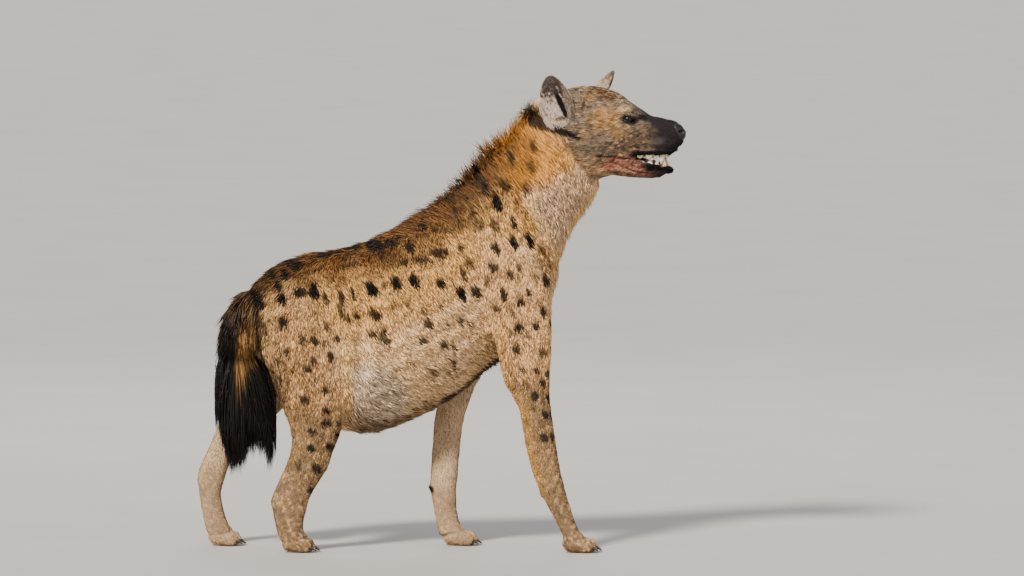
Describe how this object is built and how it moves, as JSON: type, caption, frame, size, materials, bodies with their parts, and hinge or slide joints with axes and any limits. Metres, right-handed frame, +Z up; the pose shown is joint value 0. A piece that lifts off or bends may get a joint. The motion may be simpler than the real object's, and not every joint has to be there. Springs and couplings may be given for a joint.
{
  "type": "spotted hyena",
  "caption": "Life-size still model of a standing spotted hyena, head raised and turned slightly, mouth a little open, with nape mane and hanging tail brush.",
  "frame": {"origin": "on the floor under the middle of the model's outline seen from above", "axes": "+X forwards to the nose, +Y to the animal's left, +Z up from the soles"},
  "size_m": [1.1574, 0.2782, 1.124],
  "materials": {
    "coat_fur": "coarse short sandy fur with near-black spots, matte",
    "mane_hair": "long ochre mane hair with dark bases and tips, soft sheen",
    "tail_hair": "long straight black tail hair, soft sheen",
    "face_fur": "very short grey-brown face fur, darker on the muzzle",
    "ear_fur": "thin pale fur over pinkish-grey skin",
    "nose_leather": "moist finely pebbled black skin",
    "eye_gloss": "dark brown, wet and glossy",
    "tooth_enamel": "ivory, glossy, yellower at the gum",
    "mouth_skin": "moist pink tongue and gum, dark lips",
    "claw_horn": "blunt dark horn, satin"
  },
  "bodies": {
    "root": {"torso": "coat_fur", "neck": "coat_fur", "head": "face_fur", "jaw": "face_fur", "nose": "nose_leather", "eye_right": "eye_gloss", "eye_left": "eye_gloss", "ear_right": "ear_fur", "ear_left": "ear_fur", "upper_arm_right": "coat_fur", "forearm_right": "coat_fur", "forepaw_right": "coat_fur", "upper_arm_left": "coat_fur", "forearm_left": "coat_fur", "forepaw_left": "coat_fur", "thigh_right": "coat_fur", "shank_right": "coat_fur", "hindpaw_right": "coat_fur", "thigh_left": "coat_fur", "shank_left": "coat_fur", "hindpaw_left": "coat_fur", "mane": "mane_hair", "tail_root": "coat_fur", "tail_switch": "tail_hair"}
  },
  "joints": []
}
